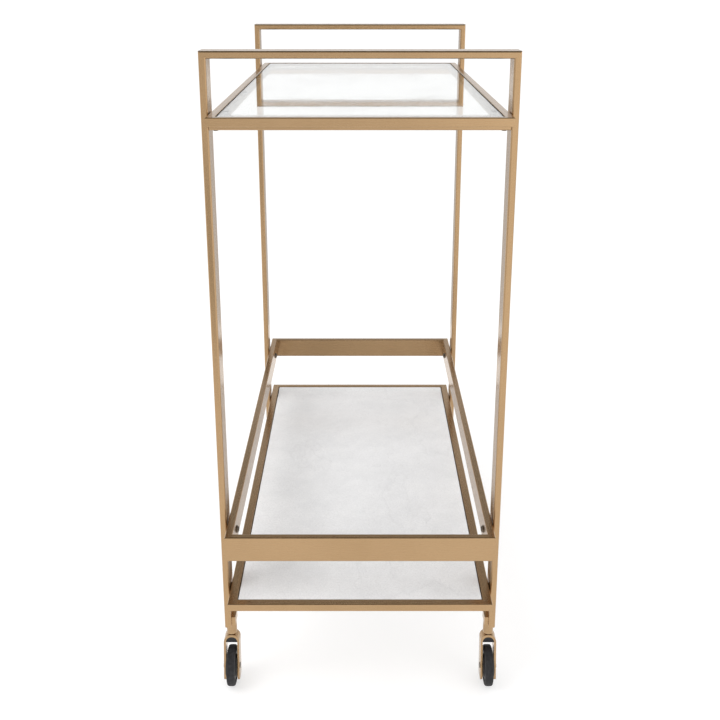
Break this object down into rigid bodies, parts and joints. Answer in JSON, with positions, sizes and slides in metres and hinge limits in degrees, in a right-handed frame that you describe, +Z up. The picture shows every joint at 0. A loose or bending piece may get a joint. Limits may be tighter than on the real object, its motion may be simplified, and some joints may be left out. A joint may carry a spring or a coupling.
{
  "type": "bar cart",
  "caption": "Narrow bar cart on swivel casters: flat-bar frame with end handles, glass top, guard rail, marble lower shelf.",
  "frame": {"origin": "on the floor, under the middle of the cart", "axes": "+Z up, +Y along the cart from the front end to the rear end, +X across it to the right"},
  "size_m": [0.3906, 0.762, 0.889],
  "materials": {
    "brass_frame": "brushed antique brass finish",
    "brass_caster": "satin antique brass finish",
    "dark_steel": "dark bronze plated",
    "clear_glass": "clear tempered, eased edges",
    "white_marble": "honed white marble with faint veins",
    "clear_pad": "clear soft pad",
    "black_plastic": "moulded black nylon",
    "black_rubber": "dull black rubber tread"
  },
  "bodies": {
    "cart": {"bottom_rail_front": "brass_frame", "bottom_rail_left": "brass_frame", "bottom_rail_rear": "brass_frame", "bottom_rail_right": "brass_frame", "bottom_shelf_screws": "dark_steel", "caster_stem_front_left": "brass_caster", "caster_stem_front_right": "brass_caster", "caster_stem_rear_left": "brass_caster", "caster_stem_rear_right": "brass_caster", "foot_blocks": "brass_frame", "glass_pads": "clear_pad", "glass_shelf": "clear_glass", "guard_rail_front": "brass_frame", "guard_rail_left": "brass_frame", "guard_rail_rear": "brass_frame", "guard_rail_right": "brass_frame", "guard_screws": "dark_steel", "guard_spacers": "dark_steel", "handle_front": "brass_frame", "handle_rear": "brass_frame", "leg_front_left": "brass_frame", "leg_front_right": "brass_frame", "leg_rear_left": "brass_frame", "leg_rear_right": "brass_frame", "lower_cross_bar_front": "brass_frame", "lower_cross_bar_rear": "brass_frame", "marble_pads": "clear_pad", "marble_slab": "white_marble", "support_straps": "brass_frame", "top_rail_front": "brass_frame", "top_rail_left": "brass_frame", "top_rail_rear": "brass_frame", "top_rail_right": "brass_frame", "top_shelf_screws": "dark_steel", "upper_cross_bar_front": "brass_frame", "upper_cross_bar_rear": "brass_frame"},
    "swivel_front_left": {"caster_fork_front_left": "brass_caster", "caster_bearing_front_left": "black_plastic", "caster_axle_front_left": "dark_steel"},
    "wheel_front_left": {"wheel_hub_front_left": "black_plastic", "wheel_tyre_front_left": "black_rubber"},
    "swivel_front_right": {"caster_fork_front_right": "brass_caster", "caster_bearing_front_right": "black_plastic", "caster_axle_front_right": "dark_steel"},
    "wheel_front_right": {"wheel_hub_front_right": "black_plastic", "wheel_tyre_front_right": "black_rubber"},
    "swivel_rear_left": {"caster_fork_rear_left": "brass_caster", "caster_bearing_rear_left": "black_plastic", "caster_axle_rear_left": "dark_steel"},
    "wheel_rear_left": {"wheel_hub_rear_left": "black_plastic", "wheel_tyre_rear_left": "black_rubber"},
    "swivel_rear_right": {"caster_fork_rear_right": "brass_caster", "caster_bearing_rear_right": "black_plastic", "caster_axle_rear_right": "dark_steel"},
    "wheel_rear_right": {"wheel_hub_rear_right": "black_plastic", "wheel_tyre_rear_right": "black_rubber"}
  },
  "joints": [
    {"name": "swivel_front_left", "type": "hinge", "parent": "cart", "child": "swivel_front_left", "pos_m": [-0.18325, -0.3285, 0.075], "axis": [0, 0, 1], "continuous": true},
    {"name": "roll_front_left", "type": "hinge", "parent": "swivel_front_left", "child": "wheel_front_left", "pos_m": [-0.18325, -0.3405, 0.0285], "axis": [1, 0, 0], "continuous": true},
    {"name": "swivel_front_right", "type": "hinge", "parent": "cart", "child": "swivel_front_right", "pos_m": [0.18325, -0.3285, 0.075], "axis": [0, 0, 1], "continuous": true},
    {"name": "roll_front_right", "type": "hinge", "parent": "swivel_front_right", "child": "wheel_front_right", "pos_m": [0.18325, -0.3405, 0.0285], "axis": [1, 0, 0], "continuous": true},
    {"name": "swivel_rear_left", "type": "hinge", "parent": "cart", "child": "swivel_rear_left", "pos_m": [-0.18325, 0.3285, 0.075], "axis": [0, 0, 1], "continuous": true},
    {"name": "roll_rear_left", "type": "hinge", "parent": "swivel_rear_left", "child": "wheel_rear_left", "pos_m": [-0.18325, 0.3165, 0.0285], "axis": [1, 0, 0], "continuous": true},
    {"name": "swivel_rear_right", "type": "hinge", "parent": "cart", "child": "swivel_rear_right", "pos_m": [0.18325, 0.3285, 0.075], "axis": [0, 0, 1], "continuous": true},
    {"name": "roll_rear_right", "type": "hinge", "parent": "swivel_rear_right", "child": "wheel_rear_right", "pos_m": [0.18325, 0.3165, 0.0285], "axis": [1, 0, 0], "continuous": true}
  ]
}
